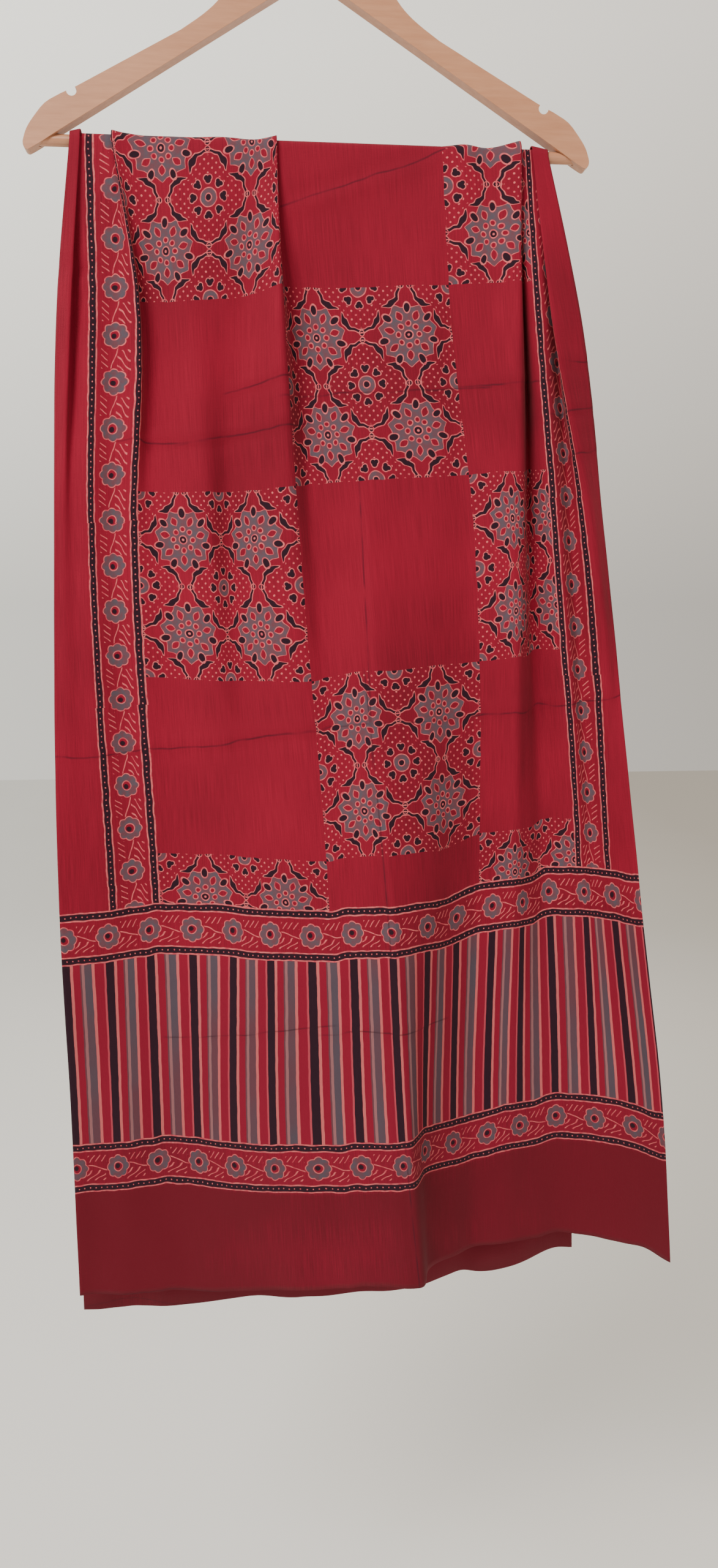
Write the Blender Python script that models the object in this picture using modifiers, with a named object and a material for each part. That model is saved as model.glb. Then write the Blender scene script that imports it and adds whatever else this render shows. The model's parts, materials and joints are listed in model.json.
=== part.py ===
"""A red block-printed cotton stole draped over the lower bar of a wooden coat hanger.

Metres, +Z up. The origin is the inside of the hook's crown, where the hanger hangs on a rail.
+X runs to the viewer's right along the bar, and the viewer looks along +Y at the stole's front.
"""

from math import asin, cos, pi, radians, sin
from typing import NamedTuple

import bmesh
import bpy
import numpy as np

MM = 0.001
GAP = 0.3 * MM

# The hanger: heights are measured up from the bar's axis.
BAR_DROP = 225 * MM
BAR_DIAMETER = 9 * MM
BAR_END_X = 215 * MM
BAR_SIDES = 24
ARM_THICKNESS = 12 * MM
ARM_ROUNDING = 2 * MM
NOTCH_X = 185.5 * MM
NOTCH_HEIGHT = 34.5 * MM
NOTCH_RADIUS = 4 * MM
HOOK_WIRE = 3.5 * MM
HOOK_INNER_RADIUS = 20 * MM
HOOK_SEAT_HEIGHT = 130 * MM
HOOK_SHANK_TOP = 170 * MM
HOOK_TAIL_ANGLE = 205
HOOK_STEPS = 20
NECK_TOP = 157 * MM

# The stole: one sheet, folded over the bar, its front a little shorter than its back.
CLOTH_THICKNESS = 1.2 * MM
FRONT_LENGTH = 980 * MM
LAY_RADIUS = BAR_DIAMETER / 2 + GAP + CLOTH_THICKNESS / 2
ARC_STEPS = 6
FRONT_ROWS = 16
BACK_ROWS = 11
ROW_CROWDING = 1.35
WIDEST_STEP = 16 * MM

WOOD = (0.55, 0.33, 0.18, 1.0)
STEEL = (0.62, 0.62, 0.64, 1.0)
RED_COTTON = (0.36, 0.018, 0.030, 1.0)


class Fold(NamedTuple):
    """One fold line of the front, in mm: a row of places, one for each height in FRONT_HEIGHTS."""

    across: float
    x: tuple
    forward: tuple


class BackFold(NamedTuple):
    """One fold line of the back, in mm: its places at the heights in BACK_HEIGHTS."""

    across: float
    x: tuple
    behind: tuple


class Lay(NamedTuple):
    """How far the stole is pulled over at one place across it, how its front hem is cut, its back's length, in mm."""

    across: float
    pulled_back: float
    hem_drop: float
    back_length: float


# Heights below the bar's axis, in mm.
FRONT_HEIGHTS = (0, -115, -300, -600, -815, -975)
BACK_HEIGHTS = (-300, -975)
PATH_STEP = 5

FOLDS = (
    Fold(0, (-188, -202, -212, -216, -215, -214), (1.5, -2, -4, 20, 4, 2)),
    Fold(16, (-180, -190, -203, -201, -200, -199), (3, 5, -1, 16, 2, 0)),
    Fold(25, (-184, -193, -198, -193, -191, -190), (1.2, -4, -3, 13, 1, 0)),
    Fold(41, (-177, -178, -185, -177, -176, -175), (0, 0, 0, 8, 0, 0)),
    Fold(70, (-151, -152, -161, -151, -149, -147), (0, -4, -8, 0, -3, -1)),
    Fold(84, (-156, -139, -148, -138, -135, -133), (3, 4, -5, -2, -4, -1)),
    Fold(97, (-149, -138, -136, -125, -122, -120), (0, -7, -9, -4, -3, 0)),
    Fold(112, (-133, -127, -122, -110, -108, -105), (0, -8, -9, -3, 0, 3)),
    Fold(150, (-96, -95, -87, -73, -75, -70), (0, -2, 3, 5, 13, 10)),
    Fold(178, (-70, -71, -69, -50, -49, -43), (1, -5, -11, 15, 21, 17)),
    Fold(204, (-47, -51, -49, -27, -25, -18), (0, -7, 1, 20, 27, 24)),
    Fold(242, (-29, -24, -13, 9, 16, 25), (3, 11, 12, 24, 33, 32)),
    Fold(254, (-37, -21, -3, 20, 27, 37), (0, -7, 3, 27, 35, 35)),
    Fold(266, (-25, -12, 8, 31, 39, 49), (0, -8, 3, 30, 38, 38)),
    Fold(310, (20, 29, 46, 69, 79, 92), (0, -4, 14, 38, 42, 43)),
    Fold(338, (47, 56, 74, 95, 95, 100), (0, -2, 10, 26, 18, 14)),
    Fold(374, (83, 92, 111, 123, 124, 128), (0, 0, 5, 4, -3, -6)),
    Fold(396, (104, 112, 134, 144, 143, 147), (0, -3, 2, -4, -12, -15)),
    Fold(413, (122, 130, 150, 158, 159, 165), (2, -1, 7, 1, -10, -12)),
    Fold(434, (142, 149, 165, 173, 175, 182), (0, 2, 12, 6, -8, -9)),
    Fold(456, (167, 168, 176, 187, 194, 202), (5, 8, 6, -1, -11, -13)),
    Fold(478, (153, 174, 183, 203, 215, 223), (2, -13, -13, -9, -13, -16)),
    Fold(512, (171, 180, 200, 231, 247, 256), (0, 4, 4, -2, -7, -13)),
    Fold(520, (176, 186, 206, 237, 254, 264), (0, 5, 5, -1, -5, -11)),
    Fold(540, (185, 200, 219, 249, 271, 282), (0, -7, -7, -2, 2, -4)),
    Fold(560, (177, 193, 231, 261, 287, 300), (2.5, 7, 6, 10, 14, 9)),
    Fold(593, (190, 220, 248, 278, 307, 320), (0.5, -3, -5, 30, 33, 33)),
)

BACK_FOLDS = (
    BackFold(0, (-199, -216), (8, 20)),
    BackFold(60, (-167, -176), (32, 27)),
    BackFold(126, (-122, -124), (13, 18)),
    BackFold(188, (-74, -68), (28, 28)),
    BackFold(252, (-30, -14), (12, 18)),
    BackFold(318, (14, 34), (31, 27)),
    BackFold(386, (66, 88), (13, 17)),
    BackFold(450, (112, 136), (33, 27)),
    BackFold(516, (162, 190), (18, 34)),
    BackFold(566, (194, 232), (30, 45)),
    BackFold(593, (213, 254), (18, 50)),
)

LAYS = (
    Lay(0, 0, 0, 1012),
    Lay(60, 0, 0, 1017),
    Lay(126, 1, 0, 1011),
    Lay(188, 7, 0, 1014),
    Lay(252, 13, 0, 1010),
    Lay(318, 14.5, 0, 1016),
    Lay(386, 17.5, 0, 1008),
    Lay(455, 20.5, -6, 1004),
    Lay(500, 21, -4.5, 1002),
    Lay(534, 21, 0, 998),
    Lay(573, 20, 3.5, 992),
    Lay(593, 20, 8, 996),
)

# The arm's outline on the right, in mm: (x, height), each run in order round the piece.
INNER_EDGE = ((10, 119.5), (196, 5.5))
TIP_CURVE = (
    (196, 5.5), (204, 0.5), (211, -4), (217, -7.5), (220.5, -9), (223, -7.5), (223.8, -4), (223, 0), (220.5, 6.5),
    (215.5, 14), (206, 25), (194, 32),
)
UPPER_EDGE = ((181, 38), (101, 81))
NECK_CURVE = ((101, 81), (84, 92.5), (73, 102), (65, 112), (57, 124), (48, 136), (36, 147), (20, 155), (8, 157))
CURVE_READINGS = 3


def smooth(knots, values, at, level_start=False):
    """Values at the places 'at' of a curve through the knots, each slope taken from its neighbours."""
    knots = np.asarray(knots, float)
    values = np.asarray(values, float)
    slopes = np.gradient(values, knots, axis=0)
    if level_start:
        slopes[0] = 0
    at = np.clip(at, min(knots[0], knots[-1]), max(knots[0], knots[-1]))
    order = knots if knots[-1] > knots[0] else -knots
    place = at if knots[-1] > knots[0] else -at
    i = np.clip(np.searchsorted(order, place, side="right") - 1, 0, len(knots) - 2)
    span = knots[i + 1] - knots[i]
    t = (at - knots[i]) / span
    if values.ndim > 1:
        t, span = t[:, None], span[:, None]
    rise = values[i + 1] - values[i]
    start, end = slopes[i] * span, slopes[i + 1] * span
    return values[i] + t * (start + t * (3 * rise - 2 * start - end + t * (start + end - 2 * rise)))


def clear_scene():
    for obj in list(bpy.data.objects):
        bpy.data.objects.remove(obj, do_unlink=True)


def new_collection(name, hidden=False):
    collection = bpy.data.collections.new(name)
    collection.hide_render = hidden
    bpy.context.scene.collection.children.link(collection)
    return collection


def new_material(name, colour, roughness, metallic=0.0):
    material = bpy.data.materials.new(name)
    material.use_nodes = True
    shader = material.node_tree.nodes["Principled BSDF"]
    shader.inputs["Base Color"].default_value = colour
    shader.inputs["Roughness"].default_value = roughness
    shader.inputs["Metallic"].default_value = metallic
    return material


def add_object(name, mesh, collection, material=None):
    obj = bpy.data.objects.new(name, mesh)
    collection.objects.link(obj)
    if material:
        mesh.materials.append(material)
    return obj


def mesh_of_curve(curve, name, collection, material):
    """The curve as a mesh with its caps welded, in its place; the curve is removed."""
    collection.objects.link(curve)
    graph = bpy.context.evaluated_depsgraph_get()
    graph.update()
    mesh = bpy.data.meshes.new_from_object(curve.evaluated_get(graph))
    work = bmesh.new()
    work.from_mesh(mesh)
    bmesh.ops.remove_doubles(work, verts=work.verts, dist=0.001 * MM)
    work.to_mesh(mesh)
    work.free()
    obj = add_object(name, mesh, collection, material)
    obj.matrix_world = curve.matrix_world
    bpy.data.objects.remove(curve, do_unlink=True)
    return obj


def cylinder(name, collection, radius, length, centre, along, sides):
    """A closed cylinder with its axis along X, Y or Z."""
    mesh = bpy.data.meshes.new(name)
    work = bmesh.new()
    bmesh.ops.create_cone(
        work, cap_ends=True, segments=sides, radius1=radius, radius2=radius, depth=length
    )
    work.to_mesh(mesh)
    work.free()
    obj = add_object(name, mesh, collection)
    obj.location = centre
    obj.rotation_euler = {"X": (0, radians(90), 0), "Y": (radians(90), 0, 0), "Z": (0, 0, 0)}[along]
    return obj


def cut(obj, cutter):
    cutter.hide_render = True
    cutter.display_type = "WIRE"
    boolean = obj.modifiers.new(cutter.name, "BOOLEAN")
    boolean.operation = "DIFFERENCE"
    boolean.object = cutter


def curve_readings(points):
    """A smooth run of points through these."""
    count = (len(points) - 1) * CURVE_READINGS + 1
    return smooth(range(len(points)), points, np.linspace(0, len(points) - 1, count))


def arm_outline(side):
    """The closed outline of one arm, from the middle seam round its tip and back, in metres."""
    seam_x = GAP / 2 / MM
    runs = [
        [(seam_x, INNER_EDGE[0][1] - 1.5)],
        INNER_EDGE[:1],
        curve_readings(TIP_CURVE),
        UPPER_EDGE[:1],
        curve_readings(NECK_CURVE),
        [(seam_x, NECK_TOP / MM)],
    ]
    return [(side * x * MM, height * MM) for run in runs for x, height in run]


def make_arm(name, side, collection, cutters, wood):
    """One half of the hanger's wooden frame: a flat board with rounded edges, seated on the bar's end."""
    outline = arm_outline(side)
    curve = bpy.data.curves.new(name, "CURVE")
    curve.dimensions = "2D"
    curve.fill_mode = "BOTH"
    curve.extrude = ARM_THICKNESS / 2
    spline = curve.splines.new("POLY")
    spline.points.add(len(outline) - 1)
    for point, (x, height) in zip(spline.points, outline):
        point.co = (x, height, 0, 1)
    spline.use_cyclic_u = True
    guide = bpy.data.objects.new(name + "_outline", curve)
    guide.location = (0, 0, -BAR_DROP)
    guide.rotation_euler = (radians(90), 0, 0)
    arm = mesh_of_curve(guide, name, collection, wood)
    rounding = arm.modifiers.new("rounded edges", "BEVEL")
    rounding.width = ARM_ROUNDING
    rounding.segments = 2
    rounding.limit_method = "ANGLE"
    rounding.angle_limit = radians(50)
    notch_at = (side * NOTCH_X, 0, NOTCH_HEIGHT - BAR_DROP)
    cut(arm, cylinder(name + "_notch", cutters, NOTCH_RADIUS, 2 * ARM_THICKNESS, notch_at, "Y", 20))
    socket_length = 40 * MM
    socket_at = (side * (BAR_END_X + GAP - socket_length / 2), 0, -BAR_DROP)
    socket_radius = BAR_DIAMETER / 2 + GAP
    cut(arm, cylinder(name + "_socket", cutters, socket_radius, socket_length, socket_at, "X", BAR_SIDES))
    hole_length = 60 * MM
    hole_at = (0, 0, HOOK_SEAT_HEIGHT - GAP + hole_length / 2 - BAR_DROP)
    hole_radius = HOOK_WIRE / 2 + GAP
    cut(arm, cylinder(name + "_hook_hole", cutters, hole_radius, hole_length, hole_at, "Z", 16))
    return arm


def make_bar(collection, wood):
    bar = cylinder("bar", collection, BAR_DIAMETER / 2, 2 * BAR_END_X, (0, 0, -BAR_DROP), "X", BAR_SIDES)
    bar.data.materials.append(wood)
    bar.data.shade_smooth()
    bar.data.set_sharp_from_angle(angle=radians(40))


def hook_path():
    """The wire's middle line: up the shank, out to the right, over the crown and down on the left."""
    radius = HOOK_INNER_RADIUS + HOOK_WIRE / 2
    centre_height = -HOOK_INNER_RADIUS
    shank_top = HOOK_SHANK_TOP - BAR_DROP
    points = [(0, HOOK_SEAT_HEIGHT - BAR_DROP), (0, shank_top - 8 * MM)]
    rise = centre_height - shank_top
    for step in range(1, 7):
        share = step / 7
        points.append((radius * (1 - cos(pi * share)) / 2, shank_top + rise * share))
    for step in range(HOOK_STEPS + 1):
        angle = radians(HOOK_TAIL_ANGLE * step / HOOK_STEPS)
        points.append((radius * cos(angle), centre_height + radius * sin(angle)))
    return points


def make_hook(collection, steel):
    curve = bpy.data.curves.new("hook", "CURVE")
    curve.dimensions = "3D"
    curve.bevel_depth = HOOK_WIRE / 2
    curve.bevel_resolution = 2
    curve.use_fill_caps = True
    path = hook_path()
    spline = curve.splines.new("POLY")
    spline.points.add(len(path) - 1)
    for point, (x, z) in zip(spline.points, path):
        point.co = (x, 0, z, 1)
    hook = mesh_of_curve(bpy.data.objects.new("hook_path", curve), "hook", collection, steel)
    hook.data.shade_smooth()
    hook.data.set_sharp_from_angle(angle=radians(50))


def columns_across():
    """Places across the flat cloth, in mm: every fold line, and even steps between them."""
    places = [FOLDS[0].across]
    for fold, following in zip(FOLDS, FOLDS[1:]):
        span = following.across - fold.across
        steps = int(np.ceil(span * MM / WIDEST_STEP))
        places.extend(fold.across + span * (step + 1) / steps for step in range(steps))
    return np.array(places)


def hanging_line(heights, knots, sideways, depth):
    """X and depth of one warp line at the given heights, read from its places at the knots."""
    return np.column_stack([smooth(knots, sideways, heights), smooth(knots, depth, heights, level_start=True)])


def height_at_length(heights, line, length):
    """The height, in mm, at which a line that starts over the bar has come to this length."""
    steps = np.diff(np.column_stack([line, heights]), axis=0)
    run = np.concatenate([[0], np.cumsum(np.linalg.norm(steps, axis=1))])
    return np.interp(length - pi / 2 * LAY_RADIUS / MM, run, heights)


def cloth_points():
    """The sheet's middle surface: rows from the front hem over the bar to the back hem, in metres."""
    across = columns_across()
    lines = [fold.across for fold in FOLDS]
    front_x = smooth(lines, [fold.x for fold in FOLDS], across)
    front_forward = smooth(lines, [fold.forward for fold in FOLDS], across)
    front_forward[:, 0] = np.maximum(front_forward[:, 0], 0)
    back_lines = [fold.across for fold in BACK_FOLDS]
    back_x = smooth(back_lines, [fold.x for fold in BACK_FOLDS], across)
    back_behind = smooth(back_lines, [fold.behind for fold in BACK_FOLDS], across)
    lay = smooth([row.across for row in LAYS], [row[1:] for row in LAYS], across)
    path = np.arange(0, -1040, -PATH_STEP, dtype=float)
    share_front = np.linspace(0, 1, FRONT_ROWS + 1) ** ROW_CROWDING
    share_back = np.linspace(0, 1, BACK_ROWS + 1) ** ROW_CROWDING
    back_knots = (0,) + BACK_HEIGHTS
    grid = []
    for i in range(len(across)):
        pulled, hem_drop, back_length = lay[i]
        lift = front_forward[i][0]
        radius = LAY_RADIUS / MM + lift
        front = hanging_line(path, FRONT_HEIGHTS, front_x[i], front_forward[i])
        hem = height_at_length(path, front, FRONT_LENGTH / MM - pulled + hem_drop)
        rows = hanging_line(hem * share_front[::-1], FRONT_HEIGHTS, front_x[i], front_forward[i])
        column = [(x, -LAY_RADIUS / MM - forward, z) for (x, forward), z in zip(rows, hem * share_front[::-1])]
        for step in range(1, ARC_STEPS):
            angle = pi * step / ARC_STEPS
            column.append((front_x[i][0], -radius * cos(angle), radius * sin(angle)))
        sideways = np.concatenate([front_x[i][:1], back_x[i]])
        depth = np.concatenate([[lift], back_behind[i]])
        back = hanging_line(path, back_knots, sideways, depth)
        hem = height_at_length(path, back, back_length)
        rows = hanging_line(hem * share_back, back_knots, sideways, depth)
        column.extend((x, LAY_RADIUS / MM + behind, z) for (x, behind), z in zip(rows, hem * share_back))
        grid.append(column)
    points = np.array(grid) * MM
    points[:, :, 2] -= BAR_DROP
    return points


def make_cloth(collection, cotton):
    """The draped sheet: its middle surface, given its thickness."""
    grid = cloth_points()
    columns, rows = grid.shape[:2]
    work = bmesh.new()
    verts = [[work.verts.new(point) for point in column] for column in grid]
    for i in range(columns - 1):
        for j in range(rows - 1):
            work.faces.new((verts[i][j], verts[i + 1][j], verts[i + 1][j + 1], verts[i][j + 1]))
    mesh = bpy.data.meshes.new("ajrakh_cloth")
    work.to_mesh(mesh)
    work.free()
    cloth = add_object("ajrakh_cloth", mesh, collection, cotton)
    mesh.shade_smooth()
    shell = cloth.modifiers.new("thickness", "SOLIDIFY")
    shell.thickness = CLOTH_THICKNESS
    shell.offset = 0
    return cloth


def main():
    clear_scene()
    parts = new_collection("ajrakh_cloth_on_hanger")
    cutters = new_collection("cutters", hidden=True)
    wood = new_material("varnished wood", WOOD, 0.42)
    steel = new_material("hook steel", STEEL, 0.3, 1.0)
    cotton = new_material("red cotton", RED_COTTON, 0.88)
    make_arm("arm_left", -1, parts, cutters, wood)
    make_arm("arm_right", 1, parts, cutters, wood)
    make_bar(parts, wood)
    make_hook(parts, steel)
    make_cloth(parts, cotton)


main()
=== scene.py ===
"""Visual model of a red block-printed cotton stole draped over the lower bar of a wooden coat hanger.

Metres, +Z up, origin at the inside of the hook's crown. +X runs to the viewer's right along the bar and
the viewer looks along +Y at the stole's front. Sizes of the cloth and its print are in millimetres where
a name or docstring says so: across is the place across the flat cloth from its left selvage, and along
is the place along it from the bar's top, positive down the front and negative down the back.
"""
import json
import logging
from dataclasses import dataclass, fields
from enum import Enum
from math import pi, radians
from typing import Iterable, Optional, Sequence, Union

import bpy
import numpy as np
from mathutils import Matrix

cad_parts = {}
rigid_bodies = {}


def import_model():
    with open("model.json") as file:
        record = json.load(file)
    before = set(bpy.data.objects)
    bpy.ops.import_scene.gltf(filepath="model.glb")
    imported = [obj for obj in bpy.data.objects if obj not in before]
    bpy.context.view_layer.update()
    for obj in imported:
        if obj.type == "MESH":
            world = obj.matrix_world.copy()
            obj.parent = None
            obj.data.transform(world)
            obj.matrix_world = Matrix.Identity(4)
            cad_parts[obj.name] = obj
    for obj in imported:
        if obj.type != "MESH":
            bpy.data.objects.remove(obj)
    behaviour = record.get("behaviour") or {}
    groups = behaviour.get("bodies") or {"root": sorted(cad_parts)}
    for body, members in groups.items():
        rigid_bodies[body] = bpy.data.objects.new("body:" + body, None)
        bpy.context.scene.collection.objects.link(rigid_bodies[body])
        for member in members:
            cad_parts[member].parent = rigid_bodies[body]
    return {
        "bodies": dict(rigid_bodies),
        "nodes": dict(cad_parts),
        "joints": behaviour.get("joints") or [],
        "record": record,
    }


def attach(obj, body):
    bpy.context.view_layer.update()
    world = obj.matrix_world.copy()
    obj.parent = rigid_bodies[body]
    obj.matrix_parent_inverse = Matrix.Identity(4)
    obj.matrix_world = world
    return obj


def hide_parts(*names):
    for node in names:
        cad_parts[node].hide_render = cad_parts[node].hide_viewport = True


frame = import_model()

logging.basicConfig(level=logging.INFO, format="%(message)s")
LOG = logging.getLogger("ajrakh_stole")

MM = 0.001
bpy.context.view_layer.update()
# How far the bar's axis lies under the hook's crown
BAR_DROP = 0.225
# The cloth's places in metres: as the print lies on it, and as if it hung taut
FLAT_MAP = "flat_cloth"
TAUT_MAP = "taut_cloth"

Array = np.ndarray
Socket = bpy.types.NodeSocket
Number = Union["Value", float, int]
Colour = tuple[float, float, float]
Place = tuple[float, float, float]


def from_srgb(*levels: int) -> Colour:
    """The linear colour of an 8-bit sRGB one, given as red, green and blue."""
    shares = [level / 255 for level in levels]
    return tuple(((share + 0.055) / 1.055) ** 2.4 if share > 0.04 else share / 12.92 for share in shares)


class Value:
    """An output that takes part in arithmetic, each step of which adds a node."""

    def __init__(self, graph: "Graph", socket: Socket) -> None:
        """Args: graph: where the nodes are made. socket: the output that holds this value."""
        self.graph = graph
        self.socket = socket

    def __add__(self, other: Number) -> "Value":
        """self + other."""
        return self.graph.math("ADD", self, other)

    __radd__ = __add__

    def __sub__(self, other: Number) -> "Value":
        """self - other."""
        return self.graph.math("SUBTRACT", self, other)

    def __rsub__(self, other: Number) -> "Value":
        """other - self."""
        return self.graph.math("SUBTRACT", other, self)

    def __mul__(self, other: Number) -> "Value":
        """self * other."""
        return self.graph.math("MULTIPLY", self, other)

    __rmul__ = __mul__

    def __abs__(self) -> "Value":
        """|self|."""
        return self.graph.math("ABSOLUTE", self)

    def __or__(self, other: Number) -> "Value":
        """The union of two masks, or the larger of two values."""
        return self.graph.math("MAXIMUM", self, other)

    def __and__(self, other: Number) -> "Value":
        """The common part of two masks, or the smaller of two values."""
        return self.graph.math("MINIMUM", self, other)

    def part(self) -> "Value":
        """The fractional part."""
        return self.graph.math("FRACT", self)

    def floor(self) -> "Value":
        """The whole part."""
        return self.graph.math("FLOOR", self)

    def cos(self) -> "Value":
        """Cosine of an angle in radians."""
        return self.graph.math("COSINE", self)

    def sin(self) -> "Value":
        """Sine of an angle in radians."""
        return self.graph.math("SINE", self)

    def repeat(self, pitch: float) -> "Value":
        """The place from the middle of its own repeat, in a row of repeats that starts at 0."""
        return ((self * (1 / pitch)).part() - 0.5) * pitch

    def nearest(self, count: int) -> "Value":
        """For an angle in radians: its distance from the nearest of count equal axes, the first at 0."""
        pitch = 2 * pi / count
        return abs((self + pitch / 2).repeat(pitch))

    def below(self, edge: float, soft: float = 0.25) -> "Value":
        """A mask that is 1 where the value is under edge and fades out over soft."""
        return self.graph.math("MULTIPLY_ADD", self, -1 / soft, edge / soft + 0.5, use_clamp=True)

    def above(self, edge: float, soft: float = 0.25) -> "Value":
        """A mask that is 1 where the value is over edge and fades out over soft."""
        return self.graph.math("MULTIPLY_ADD", self, 1 / soft, 0.5 - edge / soft, use_clamp=True)

    def between(self, low: float, high: float, soft: float = 0.25) -> "Value":
        """A mask that is 1 between low and high."""
        return abs(self - (low + high) / 2).below((high - low) / 2, soft)


class Graph:
    """The nodes of one material or of the surroundings, built by expressions."""

    def __init__(self, owner: Union[bpy.types.Material, bpy.types.World]) -> None:
        """Args: owner: the material or world that the nodes belong to."""
        owner.use_nodes = True
        self.owner = owner
        self.tree = owner.node_tree
        self.tree.nodes.clear()

    def node(self, kind: str, settings: Optional[dict] = None, **sockets: object) -> bpy.types.Node:
        """Adds any node.

        Args:
            kind: the node's type.
            settings: its own settings, such as a ramp's stops, set before its sockets.
            sockets: values or links by socket name, with _ for a space, or by index as i0, i1.
        Returns:
            The node.
        """
        node = self.tree.nodes.new(kind)
        for key, setting in (settings or {}).items():
            if key == "stops":
                self.set_stops(node.color_ramp, setting)
            else:
                setattr(node, key, setting)
        for key, content in sockets.items():
            place = int(key[1:]) if key[0] == "i" and key[1:].isdigit() else key.replace("_", " ")
            self.feed(node.inputs[place], content)
        return node

    @staticmethod
    def set_stops(ramp: bpy.types.ColorRamp, stops: Sequence[tuple[float, Colour]]) -> None:
        """Gives a ramp its stops, with a sharp change at each.

        Args:
            ramp: the ramp.
            stops: each stop's place and the colour from there on.
        """
        ramp.interpolation = "CONSTANT"
        while len(ramp.elements) < len(stops):
            ramp.elements.new(1.0)
        for element, (place, colour) in zip(ramp.elements, stops):
            element.position = place
            element.color = (*colour, 1.0)

    def feed(self, socket: Socket, content: object) -> None:
        """Links or sets one input.

        Args:
            socket: the input.
            content: a value, an output, a colour or a plain setting.
        """
        if isinstance(content, Value):
            content = content.socket
        if isinstance(content, Socket):
            self.tree.links.new(content, socket)
        elif socket.type == "RGBA":
            socket.default_value = (*content, 1.0)
        else:
            socket.default_value = content

    def math(self, operation: str, *terms: Number, use_clamp: bool = False) -> Value:
        """One step of arithmetic.

        Args:
            operation: what is done with the terms.
            terms: its one to three terms.
            use_clamp: keeps the result from 0 to 1.
        Returns:
            The result.
        """
        node = self.node("ShaderNodeMath", {"operation": operation, "use_clamp": use_clamp})
        for socket, term in zip(node.inputs, terms):
            self.feed(socket, term)
        return Value(self, node.outputs[0])

    def length(self, x: Value, y: Value) -> Value:
        """The distance of (x, y) from the origin."""
        return self.math("SQRT", self.math("MULTIPLY_ADD", x, x, y * y))

    def angle(self, across: Value, up: Value) -> Value:
        """The angle of a direction from up, in radians."""
        return self.math("ARCTAN2", across, up)

    def parts(self, place: object) -> list[Value]:
        """The X, Y and Z of a place."""
        return [Value(self, output) for output in self.node("ShaderNodeSeparateXYZ", Vector=place).outputs]

    def blend(self, value: Value, start: float, end: float, first: float, last: float) -> Value:
        """A number that goes from first to last while a value goes from start to end."""
        numbers = {"From_Min": start, "From_Max": end, "To_Min": first, "To_Max": last}
        return Value(self, self.node("ShaderNodeMapRange", Value=value, **numbers).outputs[0])

    def mix(self, amount: Number, first: object, second: object) -> Value:
        """A colour between two."""
        node = self.node("ShaderNodeMix", {"data_type": "RGBA"}, i0=amount, i6=first, i7=second)
        return Value(self, node.outputs[2])

    def noise(
        self, place: Socket, scale: float, detail: float, form: str = "2D", output: str = "Fac"
    ) -> Value:
        """A noise at a place: 2D on the flat cloth, 3D on an object."""
        settings = {"noise_dimensions": form}
        node = self.node("ShaderNodeTexNoise", settings, Vector=place, Scale=scale, Detail=detail)
        return Value(self, node.outputs[output])

    def stretched(self, place: object, *scale: float) -> Socket:
        """A place scaled apart along X, Y and Z."""
        return self.node("ShaderNodeVectorMath", {"operation": "MULTIPLY"}, i0=place, i1=scale).outputs[0]

    def object_place(self) -> Socket:
        """The place on the object."""
        return self.node("ShaderNodeTexCoord").outputs["Object"]

    def cloth_place(self, map_name: str) -> Socket:
        """The place on the flat cloth, in metres."""
        return self.node("ShaderNodeUVMap", {"uv_map": map_name}).outputs[0]

    def finish(self, shader: bpy.types.Node) -> bpy.types.ID:
        """Ends the nodes with a shader.

        Args:
            shader: what the surface or the surroundings show.
        Returns:
            The material or world.
        """
        ends = "World" if isinstance(self.owner, bpy.types.World) else "Material"
        self.node("ShaderNodeOutput" + ends, Surface=shader.outputs[0])
        return self.owner


@dataclass(frozen=True)
class WoodFinish:
    """Pale wood under satin varnish, its grain along one axis."""

    name: str
    grain: Place
    pale: Colour = from_srgb(198, 142, 108)
    dark: Colour = from_srgb(178, 120, 86)
    roughness: float = 0.38
    unevenness: float = 0.18

    def build(self) -> bpy.types.Material:
        """Mixes the finish.

        Returns:
            The material.
        """
        graph = Graph(bpy.data.materials.new(self.name))
        place = graph.object_place()
        streaks = graph.noise(graph.stretched(place, *self.grain), 1.0, 5.0, "3D")
        tone = streaks * 0.7 + graph.noise(place, 9.0, 2.0, "3D") * 0.4
        colour = graph.mix(tone.above(0.55, 0.5), self.pale, self.dark)
        rough = tone * self.unevenness + (self.roughness - self.unevenness / 2)
        bump = graph.node("ShaderNodeBump", Strength=0.12, Distance=0.4 * MM, Height=tone)
        shader = graph.node(
            "ShaderNodeBsdfPrincipled", Base_Color=colour, Roughness=rough, Normal=bump.outputs[0],
            Coat_Weight=0.25, Coat_Roughness=0.25,
        )
        return graph.finish(shader)


@dataclass(frozen=True)
class SteelFinish:
    """Bright plated wire."""

    name: str
    colour: Colour = (0.62, 0.62, 0.64)
    roughness: float = 0.24
    unevenness: float = 0.16

    def build(self) -> bpy.types.Material:
        """Mixes the finish.

        Returns:
            The material.
        """
        graph = Graph(bpy.data.materials.new(self.name))
        drawn = graph.noise(graph.stretched(graph.object_place(), 900.0, 900.0, 60.0), 1.0, 2.0, "3D")
        rough = drawn * self.unevenness + (self.roughness - self.unevenness / 2)
        shader = graph.node("ShaderNodeBsdfPrincipled", Base_Color=self.colour, Metallic=1.0, Roughness=rough)
        return graph.finish(shader)


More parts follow.
